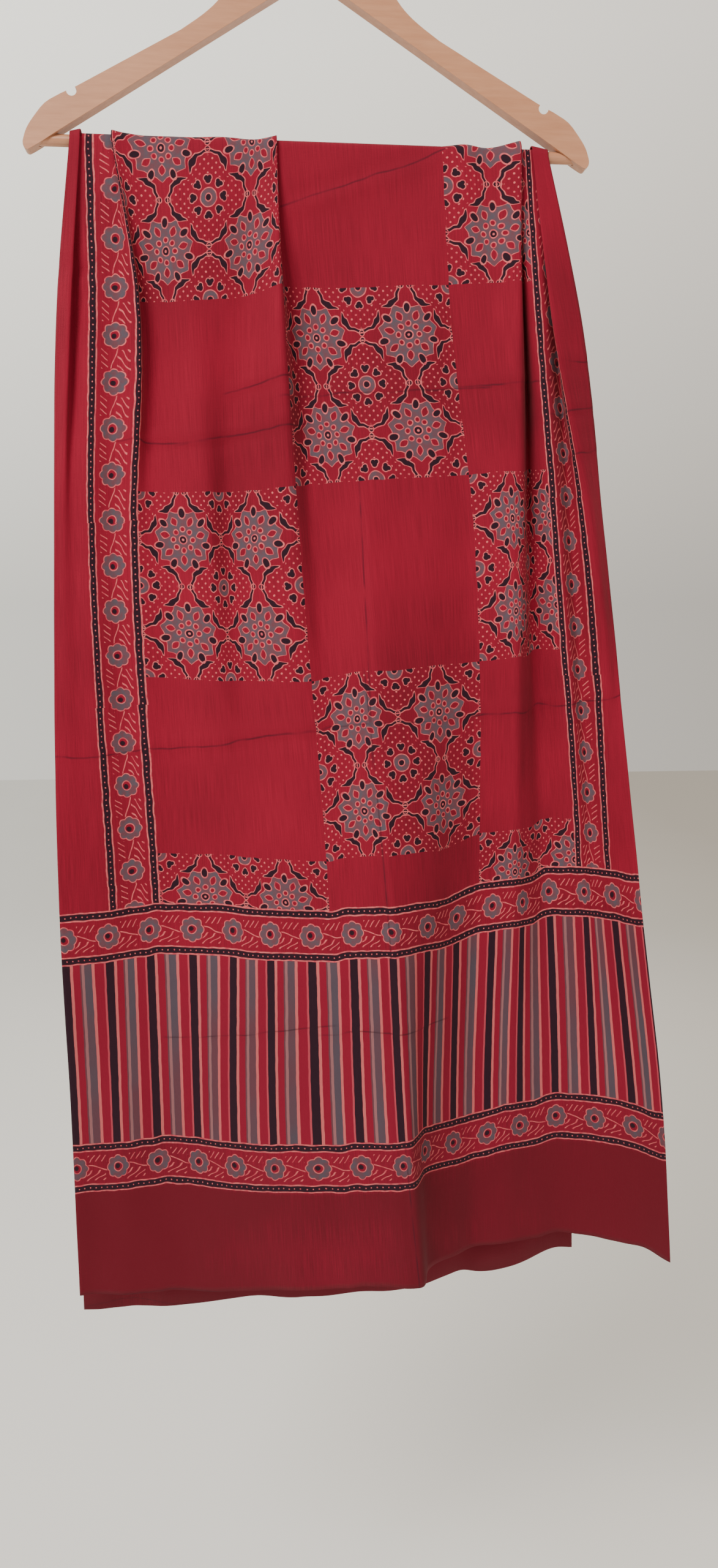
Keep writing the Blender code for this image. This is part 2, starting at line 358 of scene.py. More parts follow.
@dataclass(frozen=True)
class FloorFinish:
    """Plain pale floor with painted shade that turns it a little darker and warmer to the right; places in
    metres.
    """

    name: str
    left: Colour = (0.90, 0.90, 0.88)
    # the painted shade's colour, far to the right
    right: Colour = (0.56, 0.51, 0.45)
    turns_at: float = 0.6
    turns_over: float = 3.6

    def build(self) -> bpy.types.Material:
        """Mixes the finish.

        Returns:
            The material.
        """
        graph = Graph(bpy.data.materials.new(self.name))
        place = graph.object_place()
        sideways = graph.parts(place)[0] + graph.noise(place, 1.5, 2.0, "3D") * 0.3
        # painted shade: the floor darker and warmer to the right
        colour = graph.mix(sideways.above(self.turns_at, self.turns_over), self.left, self.right)
        return graph.finish(graph.node("ShaderNodeBsdfPrincipled", Base_Color=colour, Roughness=0.9))


@dataclass(frozen=True)
class PrintLayout:
    """Where the printed parts lie on the flat cloth, in mm."""

    left_border: float = 41.0
    right_border: float = 559.0
    field_left: float = 88.0
    field_right: float = 512.0
    border_squeeze: float = 0.9
    column: float = 154.0
    row: float = 150.2
    first_row: float = 127.0
    front_end: float = 983.0
    back_end: float = -1012.0
    plain_end: float = 103.0
    cross_border: float = 46.0
    stripes: float = 167.0
    pitch: float = 37.0
    pitch_start: float = 3.0
    side_pitch: float = 36.4
    side_start: float = 11.0
    vine_block: float = 42.3
    block_shift: float = 0.45
    wander: float = 1.6

    @property
    def upper_border(self) -> float:
        """The upper cross border's lower edge, from the hem."""
        return self.plain_end + self.cross_border + self.stripes

    @property
    def field_end(self) -> float:
        """The checked field's end, from the hem."""
        return self.upper_border + self.cross_border


@dataclass(frozen=True)
class Inks:
    """The printed inks and the dyed ground."""

    red: Colour = from_srgb(151, 13, 45)
    # deep_red: the cotton's uneven dye, and also painted shade over the plain ends
    deep_red: Colour = from_srgb(110, 5, 28)
    line: Colour = from_srgb(224, 108, 108)
    faint_line: Colour = from_srgb(202, 70, 84)
    pale_line: Colour = from_srgb(164, 108, 110)
    grey: Colour = from_srgb(88, 76, 86)
    brown_grey: Colour = from_srgb(108, 64, 73)
    # dark is also mixed in as painted shade towards the hems and along the pressed creases
    dark: Colour = from_srgb(38, 8, 26)
    pink: Colour = from_srgb(204, 74, 88)


@dataclass(frozen=True)
class Leaf:
    """A leaf pointed at both ends: its middle and half length along its axis and its half width, in mm."""

    middle: float
    half: float
    width: float

    def outside(self, beside: Value, along: Value) -> Value:
        """How far outside it a place is, negative inside, from its distances beside and along the axis."""
        share = (along - self.middle) * (1 / self.half)
        return beside.graph.math("MULTIPLY_ADD", share * share, self.width, beside - self.width)


@dataclass(frozen=True)
class RosetteSizes:
    """The rosette's petals, the drops between them and its ring of eyelets, in mm."""

    petals: int = 7
    petal: Leaf = Leaf(13.5, 10.9, 9.2)
    petal_wave: float = 0.55
    reach: float = 19.0
    eye: Leaf = Leaf(15.9, 3.8, 2.2)
    drop_ring: float = 21.0
    drop_squash: float = 0.66
    drop: float = 2.4
    eyelets: int = 8
    eyelet_ring: float = 8.4


@dataclass(frozen=True)
class MedallionSizes:
    """The medallion's beans, dots, frame of leaves and knots, in mm."""

    beans: int = 8
    lobe_ring: float = 13.9
    lobe: float = 1.8
    bean_ring: float = 12.3
    bean: float = 2.3
    frame: float = 33.2
    frame_sag: float = 17.5
    stem_end: float = 11.0
    bract: Leaf = Leaf(12.8, 6.8, 2.5)
    knot_ring: float = 35.0
    dot_pitch: float = 6.9
    dot: float = 1.14
    middle: float = 9.2


@dataclass
class Masks:
    """Where each ink goes: resist line, dark block and grey block."""

    line: Value
    dark: Value
    grey: Value

    def over(self, other: "Masks") -> "Masks":
        """Both sets of inks together."""
        return Masks(self.line | other.line, self.dark | other.dark, self.grey | other.grey)

    def inside(self, zone: Value) -> "Masks":
        """Only the inks inside a zone."""
        return Masks(self.line & zone, self.dark & zone, self.grey & zone)


@dataclass(frozen=True)
class AjrakhPrint:
    """The block print: a checked field of rosettes and medallions, vine borders and a striped end."""

    graph: Graph
    layout: PrintLayout
    inks: Inks
    rosette_sizes: RosetteSizes = RosetteSizes()
    medallion_sizes: MedallionSizes = MedallionSizes()

    def rosette(self, x: Value, y: Value) -> Masks:
        """A flower with dark drops between grey petals, centred on (0, 0).

        Args:
            x: across, in mm.
            y: down the cloth, in mm.
        Returns:
            Its inks.
        """
        graph, sizes = self.graph, self.rosette_sizes
        radius = graph.length(x, y)
        turn = graph.angle(x, 0.0 - y)
        from_drop = turn.nearest(sizes.petals)
        from_petal = pi / sizes.petals - from_drop
        drop_along = (radius * from_drop.cos() - sizes.drop_ring) * sizes.drop_squash
        drop = graph.length(radius * from_drop.sin(), drop_along) - sizes.drop
        beside, along = radius * from_petal.sin(), radius * from_petal.cos()
        petal = sizes.petal.outside(beside, along) - (from_petal * 18.0).cos() * sizes.petal_wave
        eye = sizes.eye.outside(beside, along)
        body = petal & (radius - sizes.reach)
        ring = sizes.eyelet_ring
        towards = radius * turn.nearest(sizes.eyelets).cos() * (2 * ring)
        eyelet = graph.math("SQRT", radius * radius + ring ** 2 - towards)
        line = (
            (body & drop).between(0.0, 0.9) | drop.between(0.0, 0.7) | eye.between(0.0, 0.75)
            | eyelet.between(1.7, 2.5) | radius.between(2.8, 3.7) | radius.below(1.0)
        )
        dark = drop.below(0.0) | radius.between(1.0, 2.8)
        grey = body.below(0.0) & eye.above(0.4) & eyelet.above(2.1) & radius.above(3.2)
        return Masks(line, dark, grey)

    def medallion(self, x: Value, y: Value) -> Masks:
        """A dotted round with eight beans about an eye, held by four bracket leaves with a knot on each.

        Args:
            x: across from its centre, in mm, never negative.
            y: down from its centre, in mm, never negative.
        Returns:
            Its inks.
        """
        graph, sizes = self.graph, self.medallion_sizes
        radius = graph.length(x, y)
        away = graph.angle(x, y).nearest(sizes.beans)
        bean_side, bean_along = radius * away.sin(), radius * away.cos()
        lobes = graph.length(bean_along - sizes.lobe_ring, bean_side - 1.5) - sizes.lobe
        bean = lobes & (graph.length(bean_along - sizes.bean_ring, bean_side) - sizes.bean)
        turn = graph.angle(x & y, x | y)
        path = sizes.frame - turn * turn * sizes.frame_sag + (turn * 26.0).sin() * 0.5
        off_path, on_path = abs(radius - path), turn * 28.0
        stem = (off_path - 1.0) | (on_path - sizes.stem_end)
        frame = stem & sizes.bract.outside(off_path, on_path)
        knot = graph.length((x | y) - sizes.knot_ring, x & y)
        dots = graph.length((x + y).repeat(sizes.dot_pitch), (x - y).repeat(sizes.dot_pitch))
        dots = dots.below(sizes.dot, 0.35) & (path - radius).above(2.8) & radius.above(sizes.middle)
        line = (
            (dots & bean.above(1.3)) | bean.between(0.0, 0.75) | radius.between(2.3, 3.1)
            | radius.between(6.6, 7.4) | frame.between(0.0, 0.8) | knot.between(1.8, 2.5) | knot.below(0.5)
        )
        dark = bean.below(0.0) | radius.below(2.3) | frame.below(0.0) | knot.between(0.5, 1.8)
        return Masks(line, dark, radius.between(3.1, 6.6))

    def field(self, across: Value, along: Value) -> Masks:
        """The checked field: squares of two by two cells, every other square left plain.

        Args:
            across: the place across the cloth, in mm.
            along: the place along it, in mm.
        Returns:
            Its inks.
        """
        layout = self.layout
        from_left, from_top = across - layout.field_left, along - layout.first_row
        squares = (from_left * (1 / layout.column)).floor() + (from_top * (1 / layout.row)).floor()
        x, y = from_left.repeat(layout.column / 2), from_top.repeat(layout.row / 2)
        corner = self.medallion(layout.column / 4 - abs(x), layout.row / 4 - abs(y))
        printed = (squares * 0.5).part().above(0.25)
        zone = across.between(layout.field_left, layout.field_right) & printed
        return self.rosette(x, y).over(corner).inside(zone)

    def vine(self, side: Value, run: Value) -> Masks:
        """A border: two dotted dark bands and between them flowers on a vine.

        Args:
            side: the place across the border from its outer edge, in mm.
            run: the place along it, in mm.
        Returns:
            Its inks.
        """
        graph, layout = self.graph, self.layout
        off = side - layout.vine_block / 2
        edge = abs(off)
        bands = edge.between(15.2, 19.9)
        dots = graph.length(edge - 17.55, run.repeat(4.9)).below(0.56)
        rails = edge.between(14.0, 15.1) | edge.between(20.0, 21.1)
        step = run.repeat(layout.pitch)
        radius = graph.length(off, step)
        lobes = abs((graph.angle(off, step) * 4.0).cos())
        flower = radius - lobes * 1.5 - 8.3
        heart = graph.length(off + 0.5, step - 0.7)
        gap = (layout.pitch / 2 - abs(step)) * graph.math("SIGN", step) * -1.0
        stem = abs(off + (gap * 0.17).sin() * 2.4)
        strokes = ((gap - off * 1.4 - (off * 0.8).sin() * 1.1) * (1 / 7.2)).part()
        strokes = strokes.between(0.0, 0.21, 0.07) & off.between(2.4, 11.2) & abs(gap - 2.0).below(8.5)
        dashes = ((gap - off * 0.75) * (1 / 4.9)).part()
        dashes = dashes.between(0.0, 0.2, 0.06) & off.between(-10.6, -5.0) & abs(gap).below(8.0)
        leaves = (stem.below(0.42) | strokes | dashes) & flower.above(1.5)
        line = rails | flower.between(0.0, 0.85) | radius.between(3.4, 4.2) | leaves | (dots & bands)
        dark = (bands & (1.0 - dots)) | heart.below(2.1)
        grey = flower.below(0.0) & radius.above(3.9)
        return Masks(line, dark, grey)

    def stripes(self, across: Value, tint: Value) -> Value:
        """The striped end's colours.

        Args:
            across: the place across the cloth, in mm.
            tint: varies slowly and turns the grey stripes blue or brown.
        Returns:
            The colour.
        """
        inks, layout = self.inks, self.layout
        stops = (
            (0.000, inks.dark), (0.090, inks.line), (0.160, inks.red), (0.320, inks.brown_grey),
            (0.355, inks.pale_line), (0.420, inks.grey), (0.590, inks.line), (0.660, inks.red),
            (0.860, inks.pink), (0.905, inks.dark),
        )
        place = ((across - layout.pitch_start) * (1 / layout.pitch)).part()
        ramp = self.graph.node("ShaderNodeValToRGB", {"stops": stops}, Fac=place)
        greys = place.between(0.43, 0.59, 0.01) & tint.above(0.5, 0.2)
        colour = self.graph.mix(greys, ramp.outputs[0], inks.brown_grey)
        return self.graph.mix(tint.above(0.45, 0.9) * 0.2, colour, inks.dark)

    def blocks(self, across: Value, along: Value, from_hem: Value) -> Masks:
        """All that is printed with blocks: the field, its side borders and the cross borders.

        Args:
            across: the place across the cloth, in mm.
            along: the place along it, in mm.
            from_hem: the distance from the nearer hem, in mm.
        Returns:
            The inks.
        """
        layout = self.layout
        width = layout.vine_block
        rise = layout.upper_border - layout.plain_end
        is_upper = from_hem.above((layout.plain_end + layout.upper_border) / 2, 0.01)
        from_border = from_hem - layout.plain_end - is_upper * rise
        cross = from_border * (-width / layout.cross_border) + width
        is_cross = cross.between(0.0, width, 0.1)
        in_body = from_hem.above(layout.field_end)
        shift = ((along * (1 / layout.row)).floor() * 2.4).sin() * layout.block_shift
        side = (across - layout.left_border) & (layout.right_border - across)
        side = side * layout.border_squeeze + shift
        place = side + (cross - side) * is_cross
        run_side = along * (layout.pitch / layout.side_pitch) + layout.side_start
        run_cross = layout.pitch_start + layout.pitch / 2 - across
        run = run_side + (run_cross - run_side) * is_cross
        borders = self.vine(place, run).inside(place.between(0.0, width, 0.1) & (is_cross | in_body))
        return borders.over(self.field(across, along).inside(in_body))

    def crease_lines(self) -> Value:
        """Finds where the cloth is pressed into a sharp line, stronger and weaker along it, to paint shade
        along it.

        Returns:
            A mask of the painted crease shade.
        """
        graph = self.graph
        taut = graph.cloth_place(TAUT_MAP)
        x, y, _ = graph.parts(taut)
        across = x * (1 / MM)
        along = y * (1 / MM) + (graph.noise(taut, 26.0, 2.0) * 6.0 - 3.0)
        lines = [crease.line(across, along) for crease in CREASES if crease.kind is CreaseKind.PRESSED]
        pressed = lines[0]
        for line in lines[1:]:
            pressed = pressed | line
        # painted shade along the pressed creases, patchy along them
        return pressed * graph.noise(taut, 45.0, 1.0).above(0.39, 0.4) * 0.7

    def build(self) -> Value:
        """Puts ground, stripes, blocks, stitching, painted shade towards the hems and painted shade along the
        pressed creases together.

        Returns:
            The cloth's colour.
        """
        graph, layout, inks = self.graph, self.layout, self.inks
        flat = graph.cloth_place(FLAT_MAP)
        flat_x, flat_y, _ = graph.parts(flat)
        drift_x, drift_y, _ = graph.parts(graph.noise(flat, 95.0, 1.0, output="Color"))
        across = flat_x * (1 / MM) + (drift_x - 0.5) * layout.wander
        along = flat_y * (1 / MM) + (drift_y - 0.5) * layout.wander
        straighter = across * 0.4 + flat_x * (0.6 / MM)
        from_hem = (layout.front_end - along) & (along - layout.back_end)
        blocks = self.blocks(across, along, from_hem)

        cloud = graph.noise(flat, 7.0, 2.0)
        slub = graph.noise(graph.stretched(flat, 1400.0, 30.0, 1.0), 1.0, 2.0)
        # The plain end's deeper red here is painted shade towards the hems; cloud and slub are the cotton's
        # own uneven dye.
        tone = cloud * 0.6 + slub * 0.5 + from_hem.below(layout.plain_end, 6.0) * 0.35
        ground = graph.mix(tone.above(0.6, 0.5), inks.red, inks.deep_red)
        striped = from_hem.between(layout.plain_end + layout.cross_border, layout.upper_border, 0.4)
        colour = graph.mix(striped, ground, self.stripes(straighter, cloud))
        patchy = graph.noise(flat, 160.0, 2.0).above(0.5, 0.35)
        worn = graph.noise(flat, 240.0, 1.0).above(0.56, 0.3)
        stitches = from_hem.between(2.8, 3.5) * 0.35
        # painted shade: the cloth darker towards each hem
        painted_shade_near_hems = from_hem.below(layout.upper_border, 40.0) * 0.15
        layers = (
            (blocks.grey, graph.mix(patchy, inks.grey, inks.brown_grey)), (blocks.dark, inks.dark),
            (stitches, inks.dark), (blocks.line, graph.mix(worn, inks.line, inks.faint_line)),
            # painted shade: darker towards the hems and along the pressed creases
            (painted_shade_near_hems, inks.dark), (self.crease_lines(), inks.dark),
        )
        for mask, ink in layers:
            colour = graph.mix(mask, colour, ink)
        return colour


@dataclass(frozen=True)
class CottonFinish:
    """Thin printed cotton in plain weave."""

    name: str
    layout: PrintLayout = PrintLayout()
    inks: Inks = Inks()
    sheen: Colour = (0.9, 0.5, 0.5)
    thread: tuple[float, float] = (2200.0, 90.0)
    see_through: float = 0.14

    def build(self) -> bpy.types.Material:
        """Mixes the finish.

        Returns:
            The material.
        """
        graph = Graph(bpy.data.materials.new(self.name))
        colour = AjrakhPrint(graph, self.layout, self.inks).build()
        flat = graph.cloth_place(FLAT_MAP)
        warp = graph.noise(graph.stretched(flat, *self.thread, 1.0), 1.0, 1.0)
        weft = graph.noise(graph.stretched(flat, *self.thread[::-1], 1.0), 1.0, 1.0)
        bump = graph.node("ShaderNodeBump", Strength=0.35, Distance=0.3 * MM, Height=warp + weft)
        cloth = graph.node(
            "ShaderNodeBsdfPrincipled", Base_Color=colour, Roughness=0.9, Normal=bump.outputs[0],
            Specular_IOR_Level=0.32, Sheen_Weight=0.06, Sheen_Roughness=0.5, Sheen_Tint=self.sheen,
        )
        glow = graph.node("ShaderNodeBsdfTranslucent", Color=self.inks.red)
        sides = {"i1": cloth.outputs[0], "i2": glow.outputs[0]}
        return graph.finish(graph.node("ShaderNodeMixShader", Fac=self.see_through, **sides))


@dataclass(frozen=True)
class Fold:
    """One fold line: its X and how far out it stands on its own side, at that side's heights, in mm."""

    across: float
    x: tuple[float, ...]
    forward: tuple[float, ...]


@dataclass(frozen=True)
class Lay:
    """How one place across the stole lies over the bar, in mm.

    pulled_back is how far it is pulled over to the back, hem_drop how much lower its front hem is cut, and
    back_length its length behind the bar.
    """

    across: float
    pulled_back: float
    hem_drop: float
    back_length: float


FOLDS = (
    Fold(0, (-188, -202, -212, -216, -215, -214), (1.5, -2, -4, 20, 4, 2)),
    Fold(16, (-180, -190, -203, -201, -200, -199), (3, 5, -1, 16, 2, 0)),
    Fold(25, (-184, -193, -198, -193, -191, -190), (1.2, -4, -3, 13, 1, 0)),
    Fold(41, (-177, -178, -185, -177, -176, -175), (0, 0, 0, 8, 0, 0)),
    Fold(70, (-151, -152, -161, -151, -149, -147), (0, -4, -8, 0, -3, -1)),
    Fold(84, (-156, -139, -148, -138, -135, -133), (3.2, 4, -5, -2, -4, -1)),
    Fold(97, (-149, -138, -136, -125, -122, -120), (1.8, -7, -9, -4, -3, 0)),
    Fold(112, (-133, -127, -122, -110, -108, -105), (0, -8, -9, -3, 0, 3)),
    Fold(150, (-96, -95, -87, -73, -75, -70), (0, -2, 1, 5, 13, 10)),
    Fold(178, (-70, -71, -69, -50, -49, -43), (1, -5, -7, 15, 21, 17)),
    Fold(204, (-47, -51, -49, -27, -25, -18), (0, -7, 1, 20, 27, 24)),
    Fold(242, (-29, -24, -13, 9, 16, 25), (3, 11, 12, 24, 33, 32)),
    Fold(254, (-37, -21, -3, 20, 27, 37), (0, -7, 3, 27, 35, 35)),
    Fold(266, (-25, -12, 8, 31, 39, 49), (0, -8, 3, 30, 38, 38)),
    Fold(310, (20, 29, 46, 69, 79, 92), (0, -4, 14, 38, 42, 43)),
    Fold(338, (47, 56, 74, 95, 95, 100), (0, -2, 10, 26, 18, 14)),
    Fold(374, (83, 92, 111, 123, 124, 128), (0, 0, 5, 4, -3, -6)),
    Fold(396, (104, 112, 134, 144, 143, 147), (0, -3, 2, -4, -12, -15)),
    Fold(413, (122, 130, 150, 158, 159, 165), (2, -1, 7, 1, -10, -12)),
    Fold(434, (142, 149, 165, 173, 175, 182), (0, 2, 12, 6, -8, -9)),
    Fold(456, (167, 168, 176, 187, 194, 202), (6, 8, 6, -1, -11, -13)),
    Fold(478, (153, 174, 183, 203, 215, 223), (0.8, -13, -13, -9, -13, -16)),
    Fold(512, (171, 180, 200, 231, 247, 256), (0, 4, 4, -2, -7, -13)),
    Fold(520, (176, 186, 206, 237, 254, 264), (0, 5, 5, -1, -5, -11)),
    Fold(540, (185, 200, 219, 249, 271, 282), (0, -7, -7, -2, 2, -4)),
    Fold(560, (177, 193, 231, 261, 287, 300), (2.5, 7, 6, 10, 14, 9)),
    Fold(593, (190, 220, 248, 278, 307, 320), (0.5, -3, -5, 30, 33, 33)),
)

BACK_FOLDS = (
    Fold(0, (-199, -216), (8, 20)),
    Fold(60, (-167, -176), (32, 27)),
    Fold(126, (-122, -124), (13, 18)),
    Fold(188, (-74, -68), (28, 28)),
    Fold(252, (-30, -14), (12, 18)),
    Fold(318, (14, 34), (31, 27)),
    Fold(386, (66, 88), (13, 17)),
    Fold(450, (112, 136), (33, 27)),
    Fold(516, (162, 190), (18, 34)),
    Fold(566, (194, 232), (30, 45)),
    Fold(593, (213, 254), (18, 50)),
)

LAYS = (
    Lay(0, 0, 0, 1012),
    Lay(60, 0, 0, 1017),
    Lay(126, 1, 0, 1011),
    Lay(188, 7, 0, 1014),
    Lay(252, 13, 0, 1010),
    Lay(318, 14.5, 0, 1016),
    Lay(386, 17.5, 0, 1008),
    Lay(455, 20.5, -6, 1004),
    Lay(500, 21, -4.5, 1002),
    Lay(534, 21, 0, 998),
    Lay(573, 20, 3.5, 992),
    Lay(593, 20, 8, 996),
)


# How far the print sits lower than on a taut cloth, in mm: by place across, at each place along
SLACK_ALONG = (0, 127, 277, 427, 600, 857, 990)
SLACKS = {
    0: (0, 0, 0, 0, 3, 2, 2),
    72: (0, 0, -1, 0, 0, -1, -1),
    108: (0, 0, -2, 0, 0, -1, -1),
    144: (0, 1, 0, 4, 2, 1, 1),
    180: (0, 2, 3, 8, 8, 5, 5),
    216: (0, 1, 5, 12, 13, 7, 6),
    252: (0, 0, 6, 15, 17, 10, 8),
    288: (0, 0, 5, 10, 15, 9, 8),
    324: (0, 0, 3, 9, 13, 6, 5),
    360: (0, 0, 2, 6, 14, 10, 9),
    396: (0, 0, 1, 6, 6, 12, 11),
    432: (0, 0, 0, 3, 2, 4, 4),
    468: (0, 0, 0, 2, 1, 2, 2),
    504: (0, 0, -1, -1, -3, 0, 0),
    540: (0, 0, 0, 0, -1, 2, 2),
    576: (0, 0, 0, 0, 2, 8, 8),
    593: (0, 0, 0, 0, 3, 10, 10),
}


class CreaseKind(Enum):
    """How a crease shows."""

    SOFT = "a rounded trough or ridge"
    # a pressed crease also gets a thin line of painted shade on the cloth
    PRESSED = "a sharp line with a step"


@dataclass(frozen=True)
class Crease:
    """One crease: a straight line on the flat cloth and how it stands out, in mm."""

    start: tuple[float, float]
    end: tuple[float, float]
    forward: float
    width: float
    kind: CreaseKind = CreaseKind.PRESSED

    def direction(self) -> tuple[float, float, float]:
        """Measures its line.

        Returns:
            Its length, and its direction across and along.
        """
        line = np.subtract(self.end, self.start)
        length = float(np.hypot(*line))
        return length, float(line[0] / length), float(line[1] / length)

    def line(self, across: Value, along: Value) -> Value:
        """Draws its thin pressed line, where shade is painted on the cloth.

        Args:
            across: the place across the flat cloth.
            along: the place along it.
        Returns:
            A mask of the line of painted shade.
        """
        length, ahead, beside = self.direction()
        dx, dy = across - self.start[0], along - self.start[1]
        off = abs(dx * beside - dy * ahead)
        return off.below(0.5, 1.2) & (dx * ahead + dy * beside).between(0.0, length, 14.0)

    def relief(self, across: Array, along: Array) -> Array:
        """How far it moves each place of the cloth forward, in mm.

        Args:
            across: places across the flat cloth.
            along: places along it.
        Returns:
            The relief at each place.
        """
        length, ahead, beside = self.direction()
        dx, dy = across - self.start[0], along - self.start[1]
        share = (dx * ahead + dy * beside) / length
        off = (dx * beside - dy * ahead) / self.width
        ends = np.sqrt(np.sin(pi * np.clip(share, 0, 1)))
        profile = np.exp(-off * off)
        if self.kind is CreaseKind.PRESSED:
            profile = profile * off * 2.3
        return self.forward * profile * ends


CREASES = (
    Crease((-10, 104), (70, 106), -1.6, 6, CreaseKind.SOFT),
    Crease((0, 492), (250, 482), 1.1, 7),
    Crease((150, 486), (420, 478), 0.8, 8),
    Crease((380, 480), (600, 470), 1.2, 6),
    Crease((180, 202), (245, 196), 1.4, 5),
    Crease((236, 212), (420, 208), 1.1, 6),
    Crease((400, 207), (525, 204), 0.9, 6),
    Crease((70, 234), (150, 238), 1.2, 6),
    Crease((130, 238), (260, 234), 1.5, 6),
    Crease((522, 191), (600, 190), 1.0, 5),
    Crease((522, 232), (600, 228), 1.2, 5),
    Crease((536, 268), (600, 262), 0.9, 5),
    Crease((90, 742), (240, 736), 1.0, 6),
    Crease((230, 744), (360, 746), 1.2, 6),
    Crease((262, 66), (410, 22), -1.5, 6),
    Crease((304, 280), (292, 520), 1.2, 7),
    Crease((292, 440), (299, 760), 2.0, 7),
    Crease((299, 700), (305, 985), 1.2, 7),
)


def smooth(knots: Iterable[float], values: Array, places: Array, level_start: bool = False) -> Array:
    """A smooth curve through knots, each slope taken from its neighbours.

    Args:
        knots: where the values are known, rising or falling.
        values: the known values, one row for each knot.
        places: where to read the curve.
        level_start: the curve leaves its first knot level.
    Returns:
        One row for each place.
    """
    knots = np.array(list(knots), float)
    values = np.asarray(values, float)
    slopes = np.gradient(values, knots, axis=0)
    if level_start:
        slopes[0] = 0
    places = np.clip(places, min(knots[0], knots[-1]), max(knots[0], knots[-1]))
    rising = 1 if knots[-1] > knots[0] else -1
    i = np.clip(np.searchsorted(rising * knots, rising * places, side="right") - 1, 0, len(knots) - 2)
    span = knots[i + 1] - knots[i]
    share = (places - knots[i]) / span
    if values.ndim > 1:
        share, span = share[:, None], span[:, None]
    rise = values[i + 1] - values[i]
    start, end = slopes[i] * span, slopes[i + 1] * span
    bend = 3 * rise - 2 * start - end + share * (start + end - 2 * rise)
    return values[i] + share * (start + share * bend)


@dataclass(frozen=True)
class Drape:
    """The stole's shape: how its flat cloth lies over the bar, in mm."""

    front_heights: tuple[float, ...] = (0, -115, -300, -600, -815, -975)
    back_heights: tuple[float, ...] = (0, -300, -975)
    lay_radius: float = 5.4
    lay_steps: int = 25
    front_length: float = 980.0
    path_step: float = 5.0
    deepest: float = -1040.0

    def warp(self, front: Array, back: Array, lay: Array, rows: Array) -> Array:
        """One line of the cloth from its front hem over the bar to its back hem.

        Args:
            front: X and forward depth at front_heights.
            back: X and depth behind at back_heights.
            lay: how far it is pulled over, how its front hem is cut, and its length behind the bar.
            rows: shares of each side's length, 1 at the front hem, 0 over the bar and -1 at the back hem.
        Returns:
            X, Y, height and the place along the cloth, one row each.
        """
        pulled, hem_drop, back_length = lay
        start, lift = front[0]
        radius = self.lay_radius + lift
        quarter = pi / 2 * self.lay_radius
        heights = np.arange(0, self.deepest, -self.path_step, dtype=float)
        ahead = self.hang(heights, self.front_heights, front, -1)
        after = self.hang(heights, self.back_heights, back, 1)
        turn = np.linspace(0, pi, self.lay_steps)[1:-1]
        arc = np.column_stack([np.full(len(turn), start), -radius * np.cos(turn), radius * np.sin(turn)])
        run_ahead = quarter + self.run(ahead)
        run_after = quarter + self.run(after)
        run_arc = quarter * (1 - turn * 2 / pi)
        path = np.concatenate([ahead[::-1], arc, after])
        along = np.concatenate([run_ahead[::-1], run_arc, -run_after])
        wanted = rows * np.where(rows > 0, self.front_length - pulled + hem_drop, back_length)
        line = np.column_stack([np.interp(-wanted, -along, path[:, axis]) for axis in range(3)])
        return np.column_stack([line, wanted + pulled])

    def hang(self, heights: Array, knots: tuple[float, ...], places: Array, side: int) -> Array:
        """One side of a line of the cloth.

        Args:
            heights: where it is read.
            knots: the heights of its known places.
            places: X and depth at the knots.
            side: -1 for the front, 1 for the back.
        Returns:
            X, Y and height, one row each.
        """
        sideways = smooth(knots, places[:, 0], heights)
        depth = self.lay_radius + smooth(knots, places[:, 1], heights, True)
        return np.column_stack([sideways, side * depth, heights])

    @staticmethod
    def run(path: Array) -> Array:
        """The length along a path at each of its points."""
        steps = np.linalg.norm(np.diff(path, axis=0), axis=1)
        return np.concatenate([[0], np.cumsum(steps)])

    @staticmethod
    def between_folds(folds: tuple[Fold, ...], across: Array) -> tuple[Array, Array]:
        """Reads the cloth between its fold lines.

        Args:
            folds: the fold lines.
            across: places across the flat cloth.
        Returns:
            X and depth of each place, one column for each height of the folds.
        """
        lines = [fold.across for fold in folds]
        x, depth = np.array([fold.x for fold in folds]), np.array([fold.forward for fold in folds])
        return smooth(lines, x, across), smooth(lines, depth, across)

    def grid(self, across: Array, rows: Array) -> Array:
        """The whole sheet.

        Args:
            across: places across the flat cloth.
            rows: shares of each side's length, as in warp.
        Returns:
            For each place across, its line's X, Y, height and place along.
        """
        front_x, front_forward = self.between_folds(FOLDS, across)
        front_forward[:, 0] = np.maximum(front_forward[:, 0], 0)
        back_x, back_behind = self.between_folds(BACK_FOLDS, across)
        back_x = np.column_stack([front_x[:, 0], back_x])
        back_behind = np.column_stack([front_forward[:, 0], back_behind])
        lays = np.array([(lay.pulled_back, lay.hem_drop, lay.back_length) for lay in LAYS])
        lay = smooth([lay.across for lay in LAYS], lays, across)
        front = np.stack([front_x, front_forward], axis=-1)
        back = np.stack([back_x, back_behind], axis=-1)
        return np.array([self.warp(front[i], back[i], lay[i], rows) for i in range(len(across))])


@dataclass(frozen=True)
class ClothMesh:
    """How finely the visual sheet is cut, and its thickness, in mm."""

    widest_step: float = 3.0
    front_rows: int = 180
    arc_rows: int = 14
    arc_length: float = 20.0
    back_rows: int = 36
    thickness: float = 0.45


